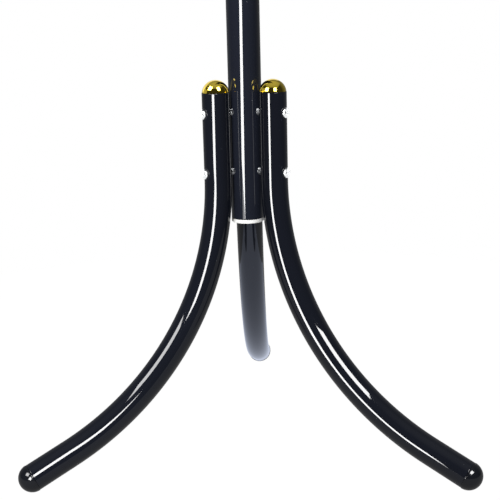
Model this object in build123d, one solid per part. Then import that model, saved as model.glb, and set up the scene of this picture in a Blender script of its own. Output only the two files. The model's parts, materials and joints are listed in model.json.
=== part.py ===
from build123d import *
import math
import os

# Floor-standing coat tree: a tubular pole on three bent tube legs, with two tiers of bent tube hooks.
# Millimetres, +Z up. The origin is on the pole's axis at floor level. X runs left to right, and the
# rear leg points along +Y.

# ---------------------------------------------------------------- driving dimensions
overall_height = 1730.0

pole_od = 30.0  # steel tube
pole_wall = 1.2
pole_bottom_z = 222.0  # lower end of the pole tube
pole_section = 747.0  # the pole ships as two equal lengths
bottom_plug_flange = 3.6
bottom_plug_shank = 18.0

leg_od = 25.0  # steel tube
leg_wall = 1.2
leg_gap = 2.0  # rivet nut flange and washer between the pole and a leg
leg_top_z = 339.0
leg_bend_z = 260.2  # where the straight upper part ends
leg_bend_r = 252.0  # centre-line radius
leg_bend_deg = 67.5
leg_tail = 39.0  # straight run into the foot cap
leg_azimuths = {"front_left": 210.0, "front_right": -30.0, "rear": 90.0}

leg_dome_r = 12.2
leg_dome_h = 10.8  # the dome is a little flatter than half a ball
foot_cap_r = 12.8

hook_od = 16.0  # steel tube
hook_wall = 1.0
hook_gap = 2.0
hook_straight = 84.0  # the part that lies against the pole
hook_bend_r = 38.0  # coat hook's bottom
hook_bend_deg = 150.0
hook_tail = 30.0
hat_bend_r = 80.0  # hat hook sweeps out, then turns up again
hat_bend_deg = 52.0
hat_run = 45.0
hat_return_r = 60.0
hat_return_deg = 42.0
hat_tail = 10.0
upper_tier_z = 1540.0  # middle of the upper hooks' straight part
lower_tier_z = 1305.0
upper_azimuths = {"front_left": 210.0, "front_right": -30.0, "rear": 90.0}
lower_azimuths = {"rear_left": 150.0, "rear_right": 30.0, "front": 270.0}

screw_spacing = 54.0  # between a leg's two screws, and a hook's
leg_screw_top_z = 320.6
screw_r = 2.5  # M5
screw_hole_r = 2.75
head_r = 4.75
head_h = 3.3
leg_screw_len = 35.0
hook_screw_len = 25.0
nut_flange_r = 4.25
nut_flange_t = 1.0
nut_body_r = 3.5
nut_hole_r = 3.55
nut_len = 11.0
nut_bulb_r = 4.75
washer_t = 1.0
washer_r = 4.0
washer_hole_r = 2.65

insert_len = 28.0
joint_stud_r = 5.0  # M10
joint_stud_len = 50.0
slip = 0.05  # radial clearance of every plug and insert in its tube

# ---------------------------------------------------------------- derived
pole_r = pole_od / 2
pole_ir = pole_r - pole_wall
leg_r = leg_od / 2
leg_ir = leg_r - leg_wall
hook_r = hook_od / 2
hook_ir = hook_r - hook_wall
leg_rho = pole_r + leg_gap + leg_r
hook_rho = pole_r + hook_gap + hook_r
pole_joint_z = pole_bottom_z + pole_section
pole_top_z = pole_joint_z + pole_section
pole_dome_r = pole_r - 0.5
pole_dome_h = overall_height - pole_top_z - 0.5
leg_screw_zs = (leg_screw_top_z - screw_spacing, leg_screw_top_z)
upper_screw_zs = (upper_tier_z - screw_spacing / 2, upper_tier_z + screw_spacing / 2)
lower_screw_zs = (lower_tier_z - screw_spacing / 2, lower_tier_z + screw_spacing / 2)

os.makedirs("parts", exist_ok=True)
written = []


def save(shape, name):
    shape.label = name
    export_step(shape, f"parts/{name}.step")
    written.append(name)


# ---------------------------------------------------------------- helpers
def cyl(r, z0, z1):
    """Upright cylinder on the Z axis."""
    return Pos(0, 0, z0) * extrude(Circle(r), z1 - z0)


def radial_cyl(r, rho0, rho1, z, az=0.0):
    """Cylinder whose axis runs outward from the pole at height z."""
    body = extrude(Circle(r), rho1 - rho0)
    return Rot(0, 0, az) * Pos(rho0, 0, z) * Rot(0, 90, 0) * body


def place(shape, origin, direction):
    """Move a solid made about the Z axis so that its Z runs along direction from origin."""
    return Plane(origin=origin, z_dir=direction) * shape


def solids_of(shape):
    return list(shape.solids())


def group(shapes):
    out = []
    for s in shapes:
        out += solids_of(s)
    return Compound(children=out) if len(out) > 1 else out[0]


class Path2:
    """A centre line in the plane through the pole's axis: (rho, z) with tangent straights and arcs.
    heading is measured from straight up, positive outward."""

    def __init__(self, rho, z, heading_deg):
        self.p = (rho, z)
        self.h = heading_deg
        self.edges = []
        self.length = 0.0
        self.start = (self.p, self.h)

    def straight(self, length):
        a = math.radians(self.h)
        q = (self.p[0] + length * math.sin(a), self.p[1] + length * math.cos(a))
        self.edges.append(Edge.make_line((self.p[0], 0, self.p[1]), (q[0], 0, q[1])))
        self.p = q
        self.length += length
        return self

    def arc(self, radius, turn_deg):
        """Positive turn goes clockwise in the (rho, z) plane: from up towards outward."""
        s = 1 if turn_deg > 0 else -1
        a = math.radians(self.h)
        nx, nz = s * math.cos(a), -s * math.sin(a)  # from the point to the arc's centre
        c = (self.p[0] + radius * nx, self.p[1] + radius * nz)

        def at(t):
            b = math.radians(self.h + t)
            return (c[0] - s * radius * math.cos(b), c[1] + s * radius * math.sin(b))

        mid, end = at(turn_deg / 2), at(turn_deg)
        self.edges.append(
            Edge.make_three_point_arc(
                (self.p[0], 0, self.p[1]), (mid[0], 0, mid[1]), (end[0], 0, end[1])
            )
        )
        self.p = end
        self.h += turn_deg
        self.length += radius * math.radians(abs(turn_deg))
        return self

    def tube(self, r_out, r_in):
        wire = Wire(self.edges)
        (rho, z), h = self.start
        a = math.radians(h)
        plane = Plane(origin=(rho, 0, z), x_dir=(0, 1, 0), z_dir=(math.sin(a), 0, math.cos(a)))
        return sweep(plane * (Circle(r_out) - Circle(r_in)), path=wire)

    def end(self):
        a = math.radians(self.h)
        return (self.p[0], 0, self.p[1]), (math.sin(a), 0, math.cos(a))


# ---------------------------------------------------------------- plugs and caps
def dome_plug(tube_ir, dome_r, dome_h, shank_len, rim=0.5):
    """Domed plug standing on a tube's end face (z = 0), shank going down into the tube.
    The shank is a thin cup with two gripping rings."""
    sr = tube_ir - slip
    wall = 1.1 if tube_ir < 8 else 1.6
    relief = 0.35
    body = cyl(sr - relief, -shank_len, 0)
    for z in (-shank_len * 0.3, -shank_len * 0.72):
        body += cyl(sr, z - 1.2, z + 1.2)
    body += cyl(dome_r, 0, rim)
    ball_r = (dome_r**2 + dome_h**2) / (2 * dome_h)
    ball = Pos(0, 0, rim + dome_h - ball_r) * Sphere(ball_r)
    body += ball & Pos(0, 0, rim + dome_r) * Box(2.2 * dome_r, 2.2 * dome_r, 2 * dome_r)
    body -= cyl(sr - relief - wall, -shank_len - 1, -1.5)
    return body


def pan_head_screw(length):
    """Cross-recess pan-head machine screw: head under-face at z = 0, head above, shank below."""
    edge_h = 1.25
    crown = head_h - edge_h
    crown_r = (head_r**2 + crown**2) / (2 * crown)
    head = cyl(head_r, 0, edge_h)
    ball = Pos(0, 0, head_h - crown_r) * Sphere(crown_r)
    head += ball & cyl(head_r, edge_h, head_h + 1)
    shank = cyl(screw_r, -length + 0.8, 0) + Pos(0, 0, -length) * Cone(screw_r - 0.7, screw_r, 0.8, align=(Align.CENTER, Align.CENTER, Align.MIN))
    body = head + shank
    # cross recess: two tapered slots and a small cone in the middle
    depth = 2.1
    half = 2.55
    for a in (0, 90):
        slot = loft(
            [
                Plane.XY.offset(head_h + 0.1) * Rectangle(2 * half, 1.1),
                Plane.XY.offset(head_h - depth) * Rectangle(1.5, 0.65),
            ]
        )
        body -= Rot(0, 0, a) * slot
    body -= Pos(0, 0, head_h - depth - 0.45) * Cone(0.25, 1.35, depth + 0.55, align=(Align.CENTER, Align.CENTER, Align.MIN))
    return body


def radial(shape, rho, z, az):
    """Put a solid made about Z so that its +Z points outward from the pole at (rho, z, az)."""
    return Rot(0, 0, az) * Pos(rho, 0, z) * Rot(0, 90, 0) * shape


def rivet_nut(z, az):
    """Rivet nut set in the pole wall: saddle-backed flange outside, bulb and threaded body inside."""
    face = pole_r + nut_flange_t
    body = radial_cyl(nut_flange_r, pole_r - 1.0, face, z) - cyl(pole_r, z - 10, z + 10)
    body += radial_cyl(nut_body_r, pole_r - nut_len, face - 0.5, z)
    bulb = radial_cyl(nut_bulb_r, pole_ir - 3.0, pole_ir + 0.5, z) & cyl(pole_ir - 0.02, z - 10, z + 10)
    body += bulb
    body -= radial_cyl(screw_r + slip, pole_r - nut_len - 1, face + 1, z)
    return Rot(0, 0, az) * body


def washer(rho_in, z, az):
    ring = radial_cyl(washer_r, rho_in, rho_in + washer_t, z) - radial_cyl(washer_hole_r, rho_in - 1, rho_in + washer_t + 1, z)
    return Rot(0, 0, az) * ring


# ---------------------------------------------------------------- pole
all_nut_spots = (
    [(z, az) for az in leg_azimuths.values() for z in leg_screw_zs]
    + [(z, az) for az in upper_azimuths.values() for z in upper_screw_zs]
    + [(z, az) for az in lower_azimuths.values() for z in lower_screw_zs]
)


def pole_tube(z0, z1):
    tube = cyl(pole_r, z0, z1) - cyl(pole_ir, z0 - 1, z1 + 1)
    edges = [e for e in tube.edges() if e.geom_type == GeomType.CIRCLE and abs(e.radius - pole_r) < 1e-6]
    tube = chamfer(edges, 0.3)
    for z, az in all_nut_spots:
        if z0 < z < z1:
            tube -= radial_cyl(nut_hole_r, pole_r - 6, pole_r + 3, z, az)
    return tube


save(pole_tube(pole_bottom_z, pole_joint_z), "lower_pole")
save(pole_tube(pole_joint_z, pole_top_z), "upper_pole")

plug = cyl(pole_r, pole_bottom_z - bottom_plug_flange, pole_bottom_z)
rim_edges = [e for e in plug.edges() if e.geom_type == GeomType.CIRCLE and abs(e.center().Z - (pole_bottom_z - bottom_plug_flange)) < 1e-6]
plug = fillet(rim_edges, 1.2)
plug += cyl(pole_ir - slip - 0.35, pole_bottom_z - 0.5, pole_bottom_z + bottom_plug_shank)
for dz in (5.0, 10.0, 15.0):
    plug += cyl(pole_ir - slip, pole_bottom_z + dz - 0.8, pole_bottom_z + dz + 0.8)
plug -= cyl(pole_ir - 2.4, pole_bottom_z - 1.6, pole_bottom_z + bottom_plug_shank + 1)
save(plug, "pole_bottom_plug")

save(Pos(0, 0, pole_top_z) * dome_plug(pole_ir, pole_dome_r, pole_dome_h, 18.0), "pole_top_dome")

# screwed joint between the two pole lengths
for name, z0, z1 in (
    ("pole_joint_lower_insert", pole_joint_z - insert_len, pole_joint_z),
    ("pole_joint_upper_insert", pole_joint_z, pole_joint_z + insert_len),
):
    insert = cyl(pole_ir - slip, z0, z1) - cyl(joint_stud_r + slip, z0 - 1, z1 + 1)
    for zz in (z0 + insert_len * 0.3, z0 + insert_len * 0.7):
        insert -= cyl(pole_r, zz - 1.5, zz + 1.5) - cyl(pole_ir - 1.2, zz - 2, zz + 2)
    save(insert, name)
stud = cyl(joint_stud_r, pole_joint_z - joint_stud_len / 2, pole_joint_z + joint_stud_len / 2)
stud = chamfer([e for e in stud.edges() if e.geom_type == GeomType.CIRCLE], 1.0)
save(stud, "pole_joint_stud")

# ---------------------------------------------------------------- legs
leg_path = Path2(leg_rho, leg_top_z, 180.0)
leg_path.straight(leg_top_z - leg_bend_z).arc(leg_bend_r, -leg_bend_deg).straight(leg_tail)
leg_end, leg_dir = leg_path.end()
leg_solid = leg_path.tube(leg_r, leg_ir)
for z in leg_screw_zs:
    leg_solid -= radial_cyl(screw_hole_r, leg_rho - leg_r - 1, leg_rho + leg_r + 1, z)
print("leg end", leg_end, "direction", leg_dir, "length", leg_path.length)
print(
    "leg volume / (section x length)",
    leg_path.tube(leg_r, leg_ir).volume / (math.pi * (leg_r**2 - leg_ir**2) * leg_path.length),
)

foot = Sphere(foot_cap_r) & Pos(0, 0, foot_cap_r) * Box(3 * foot_cap_r, 3 * foot_cap_r, 2 * foot_cap_r)
foot += cyl(leg_ir - slip - 0.35, -16.0, 0.5)
for z in (-4.5, -11.5):
    foot += cyl(leg_ir - slip, z - 1.2, z + 1.2)
foot -= cyl(leg_ir - 2.2, -17.0, -1.5)
foot = place(foot, leg_end, leg_dir)
foot -= Pos(leg_end[0], 0, -20) * Box(80, 80, 40)  # small ground flat at floor level

dome = Pos(leg_rho, 0, leg_top_z) * dome_plug(leg_ir, leg_dome_r, leg_dome_h, 12.0, rim=0.4)

for name, az in leg_azimuths.items():
    save(Rot(0, 0, az) * leg_solid, f"leg_{name}")
    save(Rot(0, 0, az) * dome, f"leg_dome_{name}")
    save(Rot(0, 0, az) * foot, f"foot_cap_{name}")

leg_screw = pan_head_screw(leg_screw_len)
spots = [(z, az) for az in leg_azimuths.values() for z in leg_screw_zs]
save(group([radial(leg_screw, leg_rho + leg_r, z, az) for z, az in spots]), "leg_screws")
save(group([rivet_nut(z, az) for z, az in spots]), "leg_rivet_nuts")
save(group([washer(pole_r + nut_flange_t, z, az) for z, az in spots]), "leg_washers")

# ---------------------------------------------------------------- hooks
def coat_branch(path):
    return path.arc(hook_bend_r, -hook_bend_deg).straight(hook_tail)


def hook_holes(solid, zs):
    for z in zs:
        solid -= radial_cyl(screw_hole_r, hook_rho - hook_r - 1, hook_rho + hook_r + 1, z)
    return solid


tip = dome_plug(hook_ir, hook_r - 0.15, 7.0, 9.0, rim=0.3)

# upper tier: one tube, hat hook above and coat hook below
up0, up1 = upper_tier_z - hook_straight / 2, upper_tier_z + hook_straight / 2
hat = Path2(hook_rho, up1, 0.0).arc(hat_bend_r, hat_bend_deg).straight(hat_run)
hat.arc(hat_return_r, -hat_return_deg).straight(hat_tail)
coat = coat_branch(Path2(hook_rho, up1, 180.0).straight(hook_straight))
full = Path2(*hat.p, hat.h + 180.0)
full.straight(hat_tail).arc(hat_return_r, hat_return_deg).straight(hat_run).arc(hat_bend_r, -hat_bend_deg)
full.straight(hook_straight)
coat_branch(full)
double_hook = hook_holes(full.tube(hook_r, hook_ir), upper_screw_zs)
hat_end, coat_end = hat.end(), full.end()
print("hat hook tip", hat_end, "coat hook tip", coat_end, "check", coat.p)
for name, az in upper_azimuths.items():
    save(Rot(0, 0, az) * double_hook, f"hat_coat_hook_{name}")
    save(Rot(0, 0, az) * place(tip, *hat_end), f"hat_hook_tip_{name}")
    save(Rot(0, 0, az) * place(tip, *coat_end), f"upper_coat_hook_tip_{name}")

# lower tier: single coat hooks
lo0, lo1 = lower_tier_z - hook_straight / 2, lower_tier_z + hook_straight / 2
single = coat_branch(Path2(hook_rho, lo1, 180.0).straight(hook_straight))
single_end = single.end()
single_hook = hook_holes(single.tube(hook_r, hook_ir), lower_screw_zs)
for name, az in lower_azimuths.items():
    save(Rot(0, 0, az) * single_hook, f"coat_hook_{name}")
    save(Rot(0, 0, az) * place(tip, (hook_rho, 0, lo1), (0, 0, 1)), f"coat_hook_dome_{name}")
    save(Rot(0, 0, az) * place(tip, *single_end), f"coat_hook_tip_{name}")

hook_screw = pan_head_screw(hook_screw_len)
spots = [(z, az) for az in upper_azimuths.values() for z in upper_screw_zs]
spots += [(z, az) for az in lower_azimuths.values() for z in lower_screw_zs]
save(group([radial(hook_screw, hook_rho + hook_r, z, az) for z, az in spots]), "hook_screws")
save(group([rivet_nut(z, az) for z, az in spots]), "hook_rivet_nuts")
save(group([washer(pole_r + nut_flange_t, z, az) for z, az in spots]), "hook_washers")

print(len(written), "nodes written")
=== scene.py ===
import json
import math

import bmesh
import bpy
from mathutils import Matrix, Vector


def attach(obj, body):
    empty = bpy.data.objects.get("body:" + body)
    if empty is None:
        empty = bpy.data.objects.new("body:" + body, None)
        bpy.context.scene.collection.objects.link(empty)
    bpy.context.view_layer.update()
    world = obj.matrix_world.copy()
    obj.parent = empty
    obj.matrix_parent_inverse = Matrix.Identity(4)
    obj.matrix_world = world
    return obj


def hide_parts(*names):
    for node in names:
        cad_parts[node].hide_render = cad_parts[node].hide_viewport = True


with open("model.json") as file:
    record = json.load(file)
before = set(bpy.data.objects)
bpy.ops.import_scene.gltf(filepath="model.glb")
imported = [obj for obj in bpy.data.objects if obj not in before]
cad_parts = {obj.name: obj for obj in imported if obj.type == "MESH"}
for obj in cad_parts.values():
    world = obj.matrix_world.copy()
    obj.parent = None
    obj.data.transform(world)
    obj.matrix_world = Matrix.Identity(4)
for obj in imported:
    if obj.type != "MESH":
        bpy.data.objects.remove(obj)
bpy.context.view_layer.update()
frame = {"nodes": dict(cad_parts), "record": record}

nodes = frame["nodes"]
MM = 0.001

# ------------------------------------------------------------------ sizes, as in the CAD model (mm)
POLE_R, POLE_WALL = 15.0, 1.2
POLE_BOTTOM, SECTION = 222.0, 747.0
LEG_R, LEG_WALL = 12.5, 1.2
LEG_RHO = POLE_R + 2.0 + LEG_R
LEG_TOP, LEG_BEND_Z, LEG_BEND_R, LEG_BEND_DEG, LEG_TAIL = 339.0, 260.2, 252.0, 67.5, 39.0
LEG_AZ = {"front_left": 210.0, "front_right": -30.0, "rear": 90.0}
LEG_SCREW_Z = (266.6, 320.6)
HOOK_R, HOOK_WALL = 8.0, 1.0
HOOK_RHO = POLE_R + 2.0 + HOOK_R
HOOK_STRAIGHT, UPPER_Z, LOWER_Z = 84.0, 1540.0, 1305.0
UPPER_AZ = {"front_left": 210.0, "front_right": -30.0, "rear": 90.0}
LOWER_AZ = {"rear_left": 150.0, "rear_right": 30.0, "front": 270.0}
SPACING = 54.0


# ------------------------------------------------------------------ mesh helpers
def new_object(name, verts, faces, sharp_deg=None):
    me = bpy.data.meshes.new(name)
    me.from_pydata([tuple(v) for v in verts], [], faces)
    me.validate()
    bm = bmesh.new()
    bm.from_mesh(me)
    bmesh.ops.recalc_face_normals(bm, faces=bm.faces)
    bm.to_mesh(me)
    bm.free()
    me.polygons.foreach_set("use_smooth", [True] * len(me.polygons))
    if sharp_deg:
        me.set_sharp_from_angle(angle=math.radians(sharp_deg))
    ob = bpy.data.objects.new(name, me)
    bpy.context.scene.collection.objects.link(ob)
    return ob


class Path:
    """Centre line in the plane through the pole's axis, made of tangent straights and arcs, in mm.
    A station is (rho, z, heading), heading in radians from straight up, positive outward."""

    def __init__(self, rho, z, heading_deg):
        self.st = [(rho, z, math.radians(heading_deg))]

    def straight(self, length, step=14.0):
        rho, z, h = self.st[-1]
        n = max(1, int(math.ceil(length / step)))
        for i in range(1, n + 1):
            t = length * i / n
            self.st.append((rho + t * math.sin(h), z + t * math.cos(h), h))
        return self

    def arc(self, radius, turn_deg, step_deg=1.5):
        rho, z, h = self.st[-1]
        s = 1 if turn_deg > 0 else -1
        cx, cz = rho + radius * s * math.cos(h), z - radius * s * math.sin(h)
        n = max(2, int(math.ceil(abs(turn_deg) / step_deg)))
        for i in range(1, n + 1):
            b = h + math.radians(turn_deg) * i / n
            self.st.append((cx - s * radius * math.cos(b), cz + s * radius * math.sin(b), b))
        return self

    def frames(self, az_deg):
        a = math.radians(az_deg)
        ca, sa = math.cos(a), math.sin(a)
        out = []
        for rho, z, h in self.st:
            P = Vector((rho * ca, rho * sa, z))
            T = Vector((math.sin(h) * ca, math.sin(h) * sa, math.cos(h)))
            N = Vector((math.cos(h) * ca, math.cos(h) * sa, -math.sin(h)))
            out.append((P, T, N, Vector((-sa, ca, 0.0))))
        return out


def tube(name, frames, r_out, r_in, seg=96, q=0.4):
    """A real tube: outer wall, inner wall and two rounded end faces, in one closed mesh."""
    P0, T0, N0, B0 = frames[0]
    P1, T1, N1, B1 = frames[-1]
    rings = []

    def ring(P, N, B, r):
        rings.append(
            [
                (P + (N * math.cos(2 * math.pi * k / seg) + B * math.sin(2 * math.pi * k / seg)) * r) * MM
                for k in range(seg)
            ]
        )

    def end_face(P, T, N, B, sign):
        """Rings over the rounded rim, from the inner wall to the outer one. sign is +1 at the start, -1 at the end."""
        seq = [(1.2, r_in), (0.25, r_in), (0.06, r_in + 0.03), (0.0, r_in + 0.12)]
        seq += [(0.0, r_out - q - 0.08)]
        for i in range(0, 5):
            b = math.pi / 2 * i / 4
            seq.append((q * (1 - math.cos(b)), r_out - q + q * math.sin(b)))
        seq += [(q + 0.25, r_out), (q + 1.2, r_out)]
        if sign < 0:
            seq = seq[::-1]
        for t, r in seq:
            ring(P + T * (t * sign), N, B, r)

    end_face(P0, T0, N0, B0, 1)
    for P, T, N, B in frames[1:-1]:
        ring(P, N, B, r_out)
    end_face(P1, T1, N1, B1, -1)
    for P, T, N, B in frames[1:-1][::-1]:
        ring(P, N, B, r_in)
    verts = [v for r in rings for v in r]
    faces = []
    m = len(rings)
    for i in range(m):
        a, b = i * seg, ((i + 1) % m) * seg
        for k in range(seg):
            kk = (k + 1) % seg
            faces.append((a + k, a + kk, b + kk, b + k))
    return new_object(name, verts, faces)


def lathe_data(profile, seg=96):
    """Verts and faces of a profile [(r, t)] turned about +Z; it starts and ends on the axis. Units as given."""
    verts, faces, rows = [], [], []
    for r, t in profile:
        if r < 1e-9:
            rows.append([len(verts)])
            verts.append(Vector((0, 0, t)))
        else:
            rows.append(list(range(len(verts), len(verts) + seg)))
            verts += [
                Vector((r * math.cos(2 * math.pi * k / seg), r * math.sin(2 * math.pi * k / seg), t))
                for k in range(seg)
            ]
    for a, b in zip(rows, rows[1:]):
        for k in range(seg):
            kk = (k + 1) % seg
            if len(a) == 1:
                faces.append((a[0], b[kk], b[k]))
            elif len(b) == 1:
                faces.append((a[k], a[kk], b[0]))
            else:
                faces.append((a[k], a[kk], b[kk], b[k]))
    return verts, faces


def axis_matrix(origin, axis, spin_deg=0.0):
    """Takes +Z to axis and the origin to origin (mm)."""
    z = Vector(axis).normalized()
    x = Vector((0, 0, 1)).cross(z)
    x = Vector((1, 0, 0)) if x.length < 1e-6 else x.normalized()
    y = z.cross(x)
    M = Matrix((x, y, z)).transposed().to_4x4()
    M.translation = Vector(origin)
    return M @ Matrix.Rotation(math.radians(spin_deg), 4, "Z")


def arc_points(cr, ct, r, a0, a1, n):
    """Points of an arc in the (r, t) plane, angles in degrees from the +r axis."""
    return [
        (cr + r * math.cos(math.radians(a0 + (a1 - a0) * i / n)), ct + r * math.sin(math.radians(a0 + (a1 - a0) * i / n)))
        for i in range(n + 1)
    ]


def lathe(name, profile, origin, axis, seg=96, sharp_deg=40, flat_z=None):
    verts, faces = lathe_data(profile, seg)
    M = axis_matrix(origin, axis)
    verts = [M @ v for v in verts]
    if flat_z is not None:
        verts = [Vector((v.x, v.y, max(v.z, flat_z))) for v in verts]
    return new_object(name, [v * MM for v in verts], faces, sharp_deg)


def dome_profile(tube_ir, dome_r, dome_h, rim, shank):
    """Domed tube plug: hidden shank with two gripping rings, thin flange on the tube's end, then the dome."""
    sr = tube_ir - 0.4
    ring_r = tube_ir - 0.05
    pts = [(0, -shank), (sr - 0.4, -shank), (sr, -shank + 0.4)]
    for c in (0.72, 0.3):
        t = -shank * c
        pts += [(sr, t - 1.2), (ring_r, t - 0.9), (ring_r, t + 0.9), (sr, t + 1.2)]
    pts += [(sr, -0.02), (dome_r - 0.25, -0.02)]
    pts += [(dome_r - 0.12, 0.02), (dome_r, 0.14), (dome_r, rim)]
    ball = (dome_r**2 + dome_h**2) / (2 * dome_h)
    zc = rim + dome_h - ball
    a0 = math.asin((rim - zc) / ball)
    pts += [
        (ball * math.cos(a), zc + ball * math.sin(a)) for a in [a0 + (math.pi / 2 - a0) * i / 32 for i in range(1, 32)]
    ]
    pts.append((0, rim + dome_h))
    return pts


# ------------------------------------------------------------------ materials
def material(name):
    m = bpy.data.materials.new(name)
    m.use_nodes = True
    t = m.node_tree
    t.nodes.clear()
    out = t.nodes.new("ShaderNodeOutputMaterial")
    bsdf = t.nodes.new("ShaderNodeBsdfPrincipled")
    t.links.new(bsdf.outputs["BSDF"], out.inputs["Surface"])
    co = t.nodes.new("ShaderNodeTexCoord")
    return m, t, bsdf, co


def noise(t, co, scale, detail=2.0, rough=0.5, stretch=None):
    n = t.nodes.new("ShaderNodeTexNoise")
    n.inputs["Scale"].default_value = scale
    n.inputs["Detail"].default_value = detail
    n.inputs["Roughness"].default_value = rough
    src = co.outputs["Object"]
    if stretch:
        mp = t.nodes.new("ShaderNodeMapping")
        mp.inputs["Scale"].default_value = stretch
        t.links.new(src, mp.inputs["Vector"])
        src = mp.outputs["Vector"]
    t.links.new(src, n.inputs["Vector"])
    return n.outputs["Fac"]


def remap(t, value, lo, hi, from_lo=0.0, from_hi=1.0):
    m = t.nodes.new("ShaderNodeMapRange")
    m.inputs["From Min"].default_value = from_lo
    m.inputs["From Max"].default_value = from_hi
    m.inputs["To Min"].default_value = lo
    m.inputs["To Max"].default_value = hi
    t.links.new(value, m.inputs["Value"])
    return m.outputs["Result"]


def mix_colour(t, fac, a, b):
    m = t.nodes.new("ShaderNodeMix")
    m.data_type = "RGBA"
    if isinstance(fac, float):
        m.inputs["Factor"].default_value = fac
    else:
        t.links.new(fac, m.inputs["Factor"])
    for socket, v in (("A", a), ("B", b)):
        s = [i for i in m.inputs if i.name == socket and i.type == "RGBA"][0]
        if isinstance(v, tuple):
            s.default_value = (*v, 1.0)
        else:
            t.links.new(v, s)
    return [o for o in m.outputs if o.type == "RGBA"][0]


def bump(t, height, strength, distance, normal=None):
    b = t.nodes.new("ShaderNodeBump")
    b.inputs["Strength"].default_value = strength
    b.inputs["Distance"].default_value = distance
    t.links.new(height, b.inputs["Height"])
    if normal is not None:
        t.links.new(normal, b.inputs["Normal"])
    return b.outputs["Normal"]


def black_enamel():
    m, t, p, co = material("black_enamel_gloss")
    broad = noise(t, co, 14.0, 3.0)
    colour = mix_colour(t, broad, (0.0042, 0.0050, 0.0082), (0.0058, 0.0068, 0.0106))
    # a little settled dust: sparse pale specks
    v = t.nodes.new("ShaderNodeTexVoronoi")
    v.inputs["Scale"].default_value = 210.0
    v.inputs["Randomness"].default_value = 1.0
    t.links.new(co.outputs["Object"], v.inputs["Vector"])
    speck = remap(t, v.outputs["Distance"], 1.0, 0.0, 0.045, 0.075)
    gate = remap(t, noise(t, co, 90.0, 1.0), 0.0, 1.0, 0.58, 0.66)
    mul = t.nodes.new("ShaderNodeMath")
    mul.operation = "MULTIPLY"
    t.links.new(speck, mul.inputs[0])
    t.links.new(gate, mul.inputs[1])
    colour = mix_colour(t, mul.outputs[0], colour, (0.09, 0.09, 0.1))
    t.links.new(colour, p.inputs["Base Color"])
    rough = remap(t, noise(t, co, 55.0, 4.0, 0.6), 0.022, 0.055, 0.3, 0.7)
    t.links.new(rough, p.inputs["Roughness"])
    peel = noise(t, co, 330.0, 1.5)
    n = bump(t, peel, 0.02, 0.0003)
    n = bump(t, noise(t, co, 46.0, 1.0), 0.03, 0.0010, n)
    t.links.new(n, p.inputs["Normal"])
    p.inputs["IOR"].default_value = 1.5
    return m


def polished_brass():
    m, t, p, co = material("polished_brass_plate")
    p.inputs["Metallic"].default_value = 1.0
    tone = noise(t, co, 85.0, 3.0)
    colour = mix_colour(t, tone, (0.86, 0.655, 0.085), (0.77, 0.565, 0.062))
    t.links.new(colour, p.inputs["Base Color"])
    rough = remap(t, noise(t, co, 240.0, 4.0, 0.65), 0.03, 0.11, 0.3, 0.7)
    t.links.new(rough, p.inputs["Roughness"])
    lines = noise(t, co, 900.0, 2.0, 0.5, (1.0, 1.0, 9.0))
    n = bump(t, lines, 0.05, 0.00008)
    n = bump(t, noise(t, co, 160.0, 2.0), 0.12, 0.0005, n)
    t.links.new(n, p.inputs["Normal"])
    return m


def black_plastic():
    m, t, p, co = material("black_moulded_plastic")
    colour = mix_colour(t, noise(t, co, 60.0, 3.0), (0.0036, 0.0042, 0.0062), (0.0062, 0.0068, 0.0090))
    t.links.new(colour, p.inputs["Base Color"])
    rough = remap(t, noise(t, co, 180.0, 4.0, 0.6), 0.07, 0.13, 0.3, 0.7)
    t.links.new(rough, p.inputs["Roughness"])
    n = bump(t, noise(t, co, 1500.0, 2.0), 0.12, 0.00012)
    n = bump(t, noise(t, co, 120.0, 1.0), 0.08, 0.0006, n)
    t.links.new(n, p.inputs["Normal"])
    p.inputs["IOR"].default_value = 1.49
    return m


def white_plastic():
    m, t, p, co = material("white_moulded_plastic")
    colour = mix_colour(t, noise(t, co, 80.0, 3.0), (0.90, 0.90, 0.885), (0.84, 0.84, 0.82))
    t.links.new(colour, p.inputs["Base Color"])
    rough = remap(t, noise(t, co, 200.0, 3.0), 0.32, 0.48, 0.3, 0.7)
    t.links.new(rough, p.inputs["Roughness"])
    t.links.new(bump(t, noise(t, co, 1100.0, 2.0), 0.15, 0.00015), p.inputs["Normal"])
    p.inputs["Subsurface Weight"].default_value = 0.12
    p.inputs["Subsurface Radius"].default_value = (0.002, 0.002, 0.0018)
    return m


def bright_zinc():
    m, t, p, co = material("bright_zinc_plate")
    p.inputs["Metallic"].default_value = 1.0
    colour = mix_colour(t, noise(t, co, 420.0, 3.0), (0.82, 0.84, 0.87), (0.70, 0.71, 0.70))
    t.links.new(colour, p.inputs["Base Color"])
    rough = remap(t, noise(t, co, 700.0, 4.0, 0.65), 0.14, 0.34, 0.3, 0.7)
    t.links.new(rough, p.inputs["Roughness"])
    t.links.new(bump(t, noise(t, co, 1800.0, 3.0), 0.18, 0.0001), p.inputs["Normal"])
    return m


def turned_steel():
    m, t, p, co = material("turned_steel")
    p.inputs["Metallic"].default_value = 1.0
    colour = mix_colour(t, noise(t, co, 220.0, 3.0), (0.62, 0.63, 0.65), (0.50, 0.50, 0.51))
    t.links.new(colour, p.inputs["Base Color"])
    w = t.nodes.new("ShaderNodeTexWave")
    w.wave_type = "BANDS"
    w.bands_direction = "Z"
    w.inputs["Scale"].default_value = 900.0
    w.inputs["Distortion"].default_value = 0.4
    t.links.new(co.outputs["Object"], w.inputs["Vector"])
    t.links.new(remap(t, w.outputs["Fac"], 0.26, 0.40), p.inputs["Roughness"])
    t.links.new(bump(t, w.outputs["Fac"], 0.25, 0.00005), p.inputs["Normal"])
    return m


MAT = {
    "black_enamel": black_enamel(),
    "polished_brass": polished_brass(),
    "black_plastic": black_plastic(),
    "white_plastic": white_plastic(),
    "bright_zinc": bright_zinc(),
    "turned_steel": turned_steel(),
}


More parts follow.
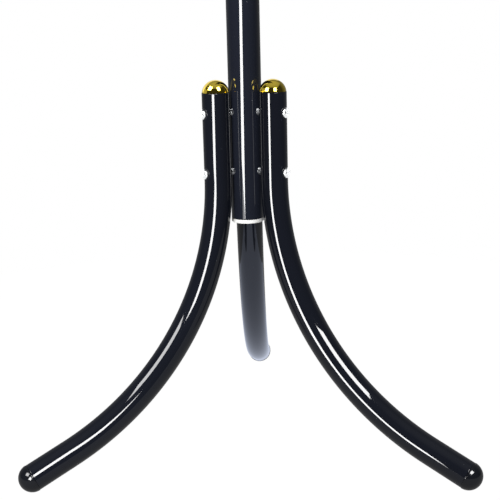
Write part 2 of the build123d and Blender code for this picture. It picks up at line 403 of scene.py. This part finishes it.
def dress(ob, slot, *replaced):
    ob.data.materials.clear()
    ob.data.materials.append(MAT[slot])
    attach(ob, "root")
    if replaced:
        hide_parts(*replaced)
    return ob


# CAD nodes that stay as they are get the detailed materials
slot_of = {s["node"]: s["material_slot"] for s in frame["record"]["subparts"]}
for node, ob in nodes.items():
    for s in ob.material_slots:
        s.material = MAT[slot_of[node]]

# ------------------------------------------------------------------ pole
def upright(z0, z1, step=14.0):
    p = Path(0.0, z0, 0.0).straight(z1 - z0, step)
    return p.frames(0.0)


JOINT_Z = POLE_BOTTOM + SECTION
TOP_Z = JOINT_Z + SECTION
dress(tube("pole_lower_tube", upright(POLE_BOTTOM, JOINT_Z), POLE_R, POLE_R - POLE_WALL, 128), "black_enamel", "lower_pole")
dress(tube("pole_upper_tube", upright(JOINT_Z, TOP_Z), POLE_R, POLE_R - POLE_WALL, 128), "black_enamel", "upper_pole")

# white plug in the pole's lower end, turned upside down: t runs downward from the tube's end
pr = [(0, -18.0), (POLE_R - POLE_WALL - 2.0, -18.0), (POLE_R - POLE_WALL - 0.6, -17.4)]
for c in (-15.0, -10.0, -5.0):
    pr += [(POLE_R - 1.6, c - 0.8), (POLE_R - 1.25, c - 0.55), (POLE_R - 1.25, c + 0.55), (POLE_R - 1.6, c + 0.8)]
pr += [(POLE_R - 1.6, 0.0), (POLE_R - 0.35, 0.0)]
pr += arc_points(POLE_R - 0.35, 0.35, 0.35, -90, 0, 4)[1:]
pr += [(POLE_R, 0.8), (POLE_R, 2.0)]
pr += arc_points(POLE_R - 1.2, 2.4, 1.2, 0, 90, 8)
pr += [(POLE_R - 2.0, 3.6), (POLE_R - 4.4, 3.6), (POLE_R - 4.8, 3.3), (POLE_R - 5.4, 3.1), (0, 3.1)]
dress(lathe("pole_plug_white", pr, (0, 0, POLE_BOTTOM), (0, 0, -1), 128), "white_plastic", "pole_bottom_plug")

dress(
    lathe("pole_dome_brass", dome_profile(POLE_R - POLE_WALL, 14.5, 1730.0 - TOP_Z - 0.5, 0.5, 18.0), (0, 0, TOP_Z), (0, 0, 1), 128),
    "polished_brass",
    "pole_top_dome",
)

# ------------------------------------------------------------------ legs
leg = Path(LEG_RHO, LEG_TOP, 180.0)
leg.straight(LEG_TOP - LEG_BEND_Z).arc(LEG_BEND_R, -LEG_BEND_DEG, 1.25).straight(LEG_TAIL)

foot_pr = [(0, -16.0), (10.4, -16.0), (10.85, -15.5)]
for c in (-11.5, -4.5):
    foot_pr += [(10.9, c - 1.2), (11.25, c - 0.9), (11.25, c + 0.9), (10.9, c + 1.2)]
foot_pr += [(10.9, 0.0), (12.25, 0.0), (12.58, 0.06), (12.73, 0.22), (12.785, 0.5)]
foot_pr += [(12.8 * math.cos(a), 12.8 * math.sin(a)) for a in [math.radians(4 + 86 * i / 34) for i in range(0, 34)]]
foot_pr.append((0, 12.8))

for key, az in LEG_AZ.items():
    fr = leg.frames(az)
    dress(tube(f"leg_tube_{key}", fr, LEG_R, LEG_R - LEG_WALL, 96), "black_enamel", f"leg_{key}")
    P, T = fr[0][0], fr[0][1]
    dress(
        lathe(f"leg_dome_brass_{key}", dome_profile(LEG_R - LEG_WALL, 12.2, 10.8, 0.4, 12.0), P, -T, 96),
        "polished_brass",
        f"leg_dome_{key}",
    )
    P, T = fr[-1][0], fr[-1][1]
    dress(
        lathe(f"foot_cap_plastic_{key}", foot_pr, P, T, 96, 40, 0.0),
        "black_plastic",
        f"foot_cap_{key}",
    )


# ------------------------------------------------------------------ screws
def screw_mesh(length, seg):
    """One cross-recess pan-head screw about +Z in mm, head under-face at z = 0."""
    hr, edge, hh = 4.75, 1.25, 3.3
    crown = hh - edge
    cr = (hr**2 + crown**2) / (2 * crown)
    cz = hh - cr
    a_edge = math.degrees(math.asin((edge + 0.25 - cz) / cr))
    pr = [(0, -length), (1.8, -length), (2.5, -length + 0.8)]
    # a rolled thread, drawn as rings
    t = -length + 1.2
    while t < -2.0:
        pr += [(2.1, t), (2.5, t + 0.32), (2.5, t + 0.42), (2.1, t + 0.74)]
        t += 0.8
    pr += [(2.5, -1.4), (2.5, -0.1), (2.6, 0.0), (hr - 0.3, 0.0), (hr - 0.08, 0.08), (hr, 0.3), (hr, edge - 0.35)]
    pr += [(hr - 0.03, edge - 0.1), (hr - 0.12, edge + 0.12)]
    n = 14
    for i in range(n):
        a = math.radians(a_edge + (90 - a_edge) * i / n)
        if cr * math.cos(a) < hr - 0.16:
            pr.append((cr * math.cos(a), cz + cr * math.sin(a)))
    pr.append((0, hh))
    verts, faces = lathe_data(pr, seg)
    body = new_object("screw_body", verts, faces)
    # the cross recess's cutters: two tapered blades and a centre cone, each taken away by its own boolean
    cutters = []
    depth, half, w0, w1 = 2.1, 2.5, 0.62, 0.36
    for k in (0, 1):
        top, bot = hh + 0.4, hh - depth
        v = []
        for z, hx, hy in ((top, half + 0.2, w0), (bot, 0.95, w1)):
            v += [(-hx, -hy, z), (hx, -hy, z), (hx, hy, z), (-hx, hy, z)]
        if k:
            v = [(-y, x, z) for x, y, z in v]
        f = [(0, 1, 2, 3), (7, 6, 5, 4), (0, 4, 5, 1), (1, 5, 6, 2), (2, 6, 7, 3), (3, 7, 4, 0)]
        cutters.append(new_object(f"cut{k}", v, f))
    cv, cf = lathe_data([(0, hh - depth - 0.45), (0.35, hh - depth - 0.4), (1.35, hh + 0.4), (0, hh + 0.4)], 32)
    cutters.append(new_object("cut2", cv, cf))
    for c in cutters:
        mod = body.modifiers.new("recess", "BOOLEAN")
        mod.operation = "DIFFERENCE"
        mod.solver = "EXACT"
        mod.object = c
    bpy.context.view_layer.update()
    dg = bpy.context.evaluated_depsgraph_get()
    me = bpy.data.meshes.new_from_object(body.evaluated_get(dg))
    for o in [body] + cutters:
        old = o.data
        bpy.data.objects.remove(o)
        bpy.data.meshes.remove(old)
    return me


def screws(name, length, seg, rho, spots, slot, node):
    base = screw_mesh(length, seg)
    bm = bmesh.new()
    for i, (z, az) in enumerate(spots):
        a = math.radians(az)
        M = axis_matrix((rho * math.cos(a), rho * math.sin(a), z), (math.cos(a), math.sin(a), 0), (37 + 53 * i) % 90)
        tmp = base.copy()
        tmp.transform(Matrix.Scale(MM, 4) @ M)
        bm.from_mesh(tmp)
        bpy.data.meshes.remove(tmp)
    me = bpy.data.meshes.new(name)
    bm.to_mesh(me)
    bm.free()
    me.polygons.foreach_set("use_smooth", [True] * len(me.polygons))
    me.set_sharp_from_angle(angle=math.radians(32))
    ob = bpy.data.objects.new(name, me)
    bpy.context.scene.collection.objects.link(ob)
    bpy.data.meshes.remove(base)
    return dress(ob, slot, node)


leg_spots = [(z, az) for az in LEG_AZ.values() for z in LEG_SCREW_Z]
screws("leg_screws_m5", 35.0, 64, LEG_RHO + LEG_R, leg_spots, "bright_zinc", "leg_screws")
hook_spots = [(UPPER_Z + s * SPACING / 2, az) for az in UPPER_AZ.values() for s in (-1, 1)]
hook_spots += [(LOWER_Z + s * SPACING / 2, az) for az in LOWER_AZ.values() for s in (-1, 1)]
screws("hook_screws_m5", 25.0, 36, HOOK_RHO + HOOK_R, hook_spots, "bright_zinc", "hook_screws")

# ------------------------------------------------------------------ hooks
tip_pr = dome_profile(HOOK_R - HOOK_WALL, HOOK_R - 0.15, 7.0, 0.3, 9.0)
top_z = UPPER_Z + HOOK_STRAIGHT / 2
hat_end = Path(HOOK_RHO, top_z, 0.0).arc(80.0, 52.0).straight(45.0).arc(60.0, -42.0).straight(10.0).st[-1]
double = Path(hat_end[0], hat_end[1], math.degrees(hat_end[2]) + 180.0)
double.straight(10.0, 5.0).arc(60.0, 42.0, 2.0).straight(45.0).arc(80.0, -52.0, 2.0).straight(HOOK_STRAIGHT)
double.arc(38.0, -150.0, 2.5).straight(30.0)
single = Path(HOOK_RHO, LOWER_Z + HOOK_STRAIGHT / 2, 180.0).straight(HOOK_STRAIGHT).arc(38.0, -150.0, 2.5).straight(30.0)

for key, az in UPPER_AZ.items():
    fr = double.frames(az)
    dress(tube(f"double_hook_tube_{key}", fr, HOOK_R, HOOK_R - HOOK_WALL, 64, 0.3), "black_enamel", f"hat_coat_hook_{key}")
    dress(lathe(f"hat_tip_brass_{key}", tip_pr, fr[0][0], -fr[0][1], 64), "polished_brass", f"hat_hook_tip_{key}")
    dress(lathe(f"upper_coat_tip_brass_{key}", tip_pr, fr[-1][0], fr[-1][1], 64), "polished_brass", f"upper_coat_hook_tip_{key}")
for key, az in LOWER_AZ.items():
    fr = single.frames(az)
    dress(tube(f"single_hook_tube_{key}", fr, HOOK_R, HOOK_R - HOOK_WALL, 64, 0.3), "black_enamel", f"coat_hook_{key}")
    dress(lathe(f"hook_top_brass_{key}", tip_pr, fr[0][0], -fr[0][1], 64), "polished_brass", f"coat_hook_dome_{key}")
    dress(lathe(f"coat_tip_brass_{key}", tip_pr, fr[-1][0], fr[-1][1], 64), "polished_brass", f"coat_hook_tip_{key}")

# ------------------------------------------------------------------ stage
def floor_disc(radius, seg=128):
    v = [Vector((0, 0, -0.0004))] + [
        Vector((radius * math.cos(2 * math.pi * k / seg), radius * math.sin(2 * math.pi * k / seg), -0.0004)) for k in range(seg)
    ]
    f = [(0, 1 + k, 1 + (k + 1) % seg) for k in range(seg)]
    return new_object("studio_floor", v, f)


floor = floor_disc(0.75)
fm = bpy.data.materials.new("studio_floor_white")
fm.use_nodes = True
ft = fm.node_tree
ft.nodes.clear()
fo = ft.nodes.new("ShaderNodeOutputMaterial")
add = ft.nodes.new("ShaderNodeAddShader")
em = ft.nodes.new("ShaderNodeEmission")
em.inputs["Color"].default_value = (1, 1, 1, 1)
seen = ft.nodes.new("ShaderNodeLightPath")
place = ft.nodes.new("ShaderNodeTexCoord")
reach = ft.nodes.new("ShaderNodeVectorMath")
reach.operation = "LENGTH"
ft.links.new(place.outputs["Object"], reach.inputs[0])
# painted light: the floor glows, pure white to the camera and a dimmer glow in reflections and bounced light, its
# strength rising from 0.30 to 0.36 towards the middle, a painted pool of light
painted_glow_pool = remap(ft, reach.outputs["Value"], 0.36, 0.30, 0.06, 0.24)
lift = ft.nodes.new("ShaderNodeMath")
lift.operation = "MAXIMUM"
ft.links.new(painted_glow_pool, lift.inputs[0])
ft.links.new(remap(ft, seen.outputs["Is Camera Ray"], 0.0, 1.0), lift.inputs[1])
ft.links.new(lift.outputs[0], em.inputs["Strength"])
df = ft.nodes.new("ShaderNodeBsdfDiffuse")
df.inputs["Color"].default_value = (0.03, 0.03, 0.03, 1)
ft.links.new(em.outputs[0], add.inputs[0])
ft.links.new(df.outputs[0], add.inputs[1])
ft.links.new(add.outputs[0], fo.inputs["Surface"])
floor.data.materials.append(fm)

# ------------------------------------------------------------------ lights
def softbox(name, centre, target, width, height, radiance):
    ld = bpy.data.lights.new(name, "AREA")
    ld.shape = "RECTANGLE"
    ld.size, ld.size_y = width, height
    ld.energy = radiance * math.pi * width * height
    ob = bpy.data.objects.new(name, ld)
    bpy.context.scene.collection.objects.link(ob)
    ob.location = centre
    ob.rotation_mode = "QUATERNION"
    ob.rotation_quaternion = (Vector(target) - Vector(centre)).to_track_quat("-Z", "Y")
    return ob


def polar(az_deg, el_deg, dist, z0=0.2):
    """A point seen from (0, 0, z0) at azimuth az (0 is towards the camera, positive to its right) and elevation el."""
    a, e = math.radians(az_deg), math.radians(el_deg)
    return Vector((math.sin(a) * math.cos(e) * dist, -math.cos(a) * math.cos(e) * dist, z0 + math.sin(e) * dist))


def tilt(light, degrees):
    """Turns a softbox in its own plane."""
    light.rotation_quaternion = light.rotation_quaternion @ Matrix.Rotation(math.radians(degrees), 3, "Z").to_quaternion()
    return light


def lights_only(light, pieces):
    """Flags a light off everything but the given pieces."""
    group = bpy.data.collections.new(light.name + "_lit")
    for ob in pieces:
        group.objects.link(ob)
    light.light_linking.receiver_collection = group
    return light


def pieces_named(*starts):
    return [o for o in bpy.context.scene.objects if o.type == "MESH" and o.name.startswith(starts)]


brass_parts = [o for o in bpy.context.scene.objects if o.type == "MESH" and "brass" in o.name]
high_parts = pieces_named("pole_upper_tube", "double_hook", "single_hook", "hook_screws_m5")

STRIP_AZ, STRIP_D = -26.0, 0.8
ca, sa = math.cos(math.radians(STRIP_AZ)), math.sin(math.radians(STRIP_AZ))


def on_strip_plane(u, z):
    return Vector((sa * STRIP_D + ca * u, -ca * STRIP_D + sa * u, z))


def strip(name, u0, z0, u1, z1, width, radiance):
    """A strip softbox on the plane 0.8 m to the front left, with its long axis from (u0, z0) to (u1, z1)."""
    mid = on_strip_plane((u0 + u1) / 2, (z0 + z1) / 2)
    lamp = softbox(name, mid, mid + Vector((-sa, ca, 0.0)), width, math.hypot(u1 - u0, z1 - z0), radiance)
    return tilt(lamp, -math.degrees(math.atan2(u1 - u0, z1 - z0)))


def beside(spot, az_deg, el_deg, dist):
    """A point at the given azimuth and elevation from a spot on the object, in metres."""
    return polar(az_deg, el_deg, dist, 0.0) + Vector(spot)


right_leg = pieces_named("leg_tube_front_right", "foot_cap_plastic_front_right")
left_leg = pieces_named("leg_tube_front_left", "foot_cap_plastic_front_left")
rear_leg = pieces_named("leg_tube_rear")
fixings = pieces_named("leg_screws_m5", "hook_screws_m5")
pole_and_small = [o for o in bpy.context.scene.objects if o.type == "MESH" and o not in right_leg + left_leg + brass_parts]
pole_and_hooks = pieces_named("pole_lower_tube") + high_parts

# the main strip, with the parts of it that each leg catches
lights_only(strip("strip_pole", 0.039, 0.10, 0.250, 0.47, 0.22, 28.0), pole_and_small)
lights_only(strip("strip_pole_low", -0.030, -0.02, 0.039, 0.10, 0.19, 5.0), pole_and_small)
lights_only(strip("strip_tall", 0.240, 0.45, 0.240, 1.80, 0.29, 28.0), pole_and_hooks)
lights_only(strip("strip_left_leg", 0.020, 0.10, 0.162, 0.355, 0.22, 26.0), left_leg)
lights_only(strip("strip_right_leg", -0.075, -0.05, -0.040, 0.33, 0.19, 28.0), right_leg)
# the two window-like softboxes over the legs
lights_only(tilt(softbox("box_right", beside((0.09, -0.06, 0.09), 31, 41, 1.8), (0.09, -0.06, 0.09), 0.88, 0.62, 24.0), 20), right_leg + fixings)
lights_only(softbox("box_left", beside((-0.09, -0.06, 0.10), -45, 38.5, 1.8), (-0.09, -0.06, 0.10), 0.78, 0.66, 14.0), left_leg + fixings)
lights_only(tilt(softbox("box_left_foot", beside((-0.15, -0.1, 0.035), 17, 37, 1.8), (-0.15, -0.1, 0.035), 0.34, 0.76, 26.0), -12), left_leg)
# brass: two windows in front, lower ones for the right dome, a broad soft ceiling, a pale left side and a pale wall behind
right_dome = pieces_named("leg_dome_brass_front_right")
other_brass = [o for o in brass_parts if o not in right_dome]
lights_only(softbox("brass_right", polar(38, 44, 1.8, 0.34), (0, 0, 0.34), 0.64, 0.92, 20.0), other_brass)
lights_only(softbox("brass_left", polar(-58, 44, 1.8, 0.34), (0, 0, 0.34), 0.84, 0.92, 20.0), other_brass)
lights_only(softbox("brass_right_low", polar(24, 29, 1.8, 0.34), (0, 0, 0.34), 0.68, 0.84, 20.0), right_dome)
lights_only(softbox("brass_left_low", polar(-54, 27, 1.8, 0.34), (0, 0, 0.34), 0.78, 0.84, 20.0), right_dome)
lights_only(softbox("brass_ceiling", (0, -0.2, 2.6), (0, 0, 0.34), 4.2, 3.4, 0.28), brass_parts)
lights_only(softbox("brass_wall", (-0.9, 2.0, 1.3), (0, 0, 0.5), 3.4, 1.9, 0.8), brass_parts)
side = lights_only(softbox("brass_side", polar(-106, 7, 2.2, 0.34), (0, 0, 0.34), 2.5, 1.5, 0.44), brass_parts)
side.light_linking.blocker_collection = bpy.data.collections.new("brass_side_shaded_by")
for ob in [o for o in bpy.context.scene.objects if o.type == "MESH" and not o.name.startswith("pole_")]:
    side.light_linking.blocker_collection.objects.link(ob)
lights_only(softbox("screw_fill_floor", (0, -0.3, 0.002), (0, -0.3, 1.0), 2.4, 2.4, 0.8), fixings)
# fills: pale for the screw heads, cool for the leg behind
lights_only(softbox("screw_fill", (0, -2.4, 0.9), (0, 0, 0.5), 4.4, 2.8, 1.7), fixings)
lights_only(softbox("screw_fill_left", (-2.2, 0.9, 0.3), (0, 0, 0.3), 4.4, 3.0, 1.5), fixings)
lights_only(softbox("screw_fill_right", (2.2, 0.9, 0.3), (0, 0, 0.3), 4.4, 3.0, 1.5), fixings)
rear_fill = lights_only(softbox("rear_fill", (0.0, 0.03, 0.0015), (0, 0.03, 1.0), 0.6, 0.7, 0.5), rear_leg)
rear_fill.data.color = (0.80, 0.92, 1.25)
lights_only(softbox("rear_wall", (0, 2.0, 0.5), (0, 0, 0.2), 3.0, 1.2, 0.95), rear_leg)
# the upper part of the stand, out of the lower part's way
lights_only(softbox("high_right", polar(52, 0, 1.5, 1.3), (0, 0, 1.3), 0.35, 1.3, 16.0), high_parts)
lights_only(softbox("high_back", polar(165, 0, 1.5, 1.3), (0, 0, 1.3), 0.45, 1.3, 12.0), high_parts)
for light in [o for o in bpy.context.scene.objects if o.type == "LIGHT"]:
    light.visible_camera = False

world = bpy.data.worlds.new("studio")
bpy.context.scene.world = world
world.use_nodes = True
wt = world.node_tree
wt.nodes.clear()
wo = wt.nodes.new("ShaderNodeOutputWorld")
mixs = wt.nodes.new("ShaderNodeMixShader")
lp = wt.nodes.new("ShaderNodeLightPath")
white = wt.nodes.new("ShaderNodeBackground")
white.inputs["Color"].default_value = (1, 1, 1, 1)
white.inputs["Strength"].default_value = 1.0
dark = wt.nodes.new("ShaderNodeBackground")
wc = wt.nodes.new("ShaderNodeTexCoord")
sep = wt.nodes.new("ShaderNodeSeparateXYZ")
wt.links.new(wc.outputs["Generated"], sep.inputs[0])
# darker towards the camera and the ground, brighter behind and overhead
back = remap(wt, sep.outputs["Y"], 0.0, 1.0, 0.0, 0.8)
up = remap(wt, sep.outputs["Z"], 0.0, 1.0, 0.72, 1.0)
mx = wt.nodes.new("ShaderNodeMath")
mx.operation = "MAXIMUM"
wt.links.new(back, mx.inputs[0])
wt.links.new(up, mx.inputs[1])
wt.links.new(remap(wt, mx.outputs[0], 0.04, 0.24), dark.inputs["Strength"])
dark.inputs["Color"].default_value = (0.95, 0.97, 1.0, 1)
wt.links.new(lp.outputs["Is Camera Ray"], mixs.inputs["Fac"])
wt.links.new(dark.outputs[0], mixs.inputs[1])
wt.links.new(white.outputs[0], mixs.inputs[2])
wt.links.new(mixs.outputs[0], wo.inputs["Surface"])

sc = bpy.context.scene
sc.view_settings.view_transform = "Standard"
sc.view_settings.look = "None"
sc.view_settings.exposure = 0.0
sc.view_settings.gamma = 1.0

# ------------------------------------------------------------------ camera
PITCH, YAW, ROLL = 0.24368, -0.04361, 0.02460
fwd = Vector((math.sin(YAW) * math.cos(PITCH), math.cos(YAW) * math.cos(PITCH), -math.sin(PITCH)))
right = Vector((math.cos(YAW), -math.sin(YAW), 0.0))
down = fwd.cross(right)
r2 = right * math.cos(ROLL) + down * math.sin(ROLL)
d2 = -right * math.sin(ROLL) + down * math.cos(ROLL)
cam_data = bpy.data.cameras.new("camera")
cam_data.sensor_width = 36.0
cam_data.lens = 36.0 * 1050.0 / 500.0
cam_data.clip_start, cam_data.clip_end = 0.05, 50.0
cam = bpy.data.objects.new("camera", cam_data)
sc.collection.objects.link(cam)
cam.matrix_world = Matrix.Translation(Vector((42.96, -956.68, 428.08)) * MM) @ Matrix((r2, -d2, -fwd)).transposed().to_4x4()
sc.camera = cam
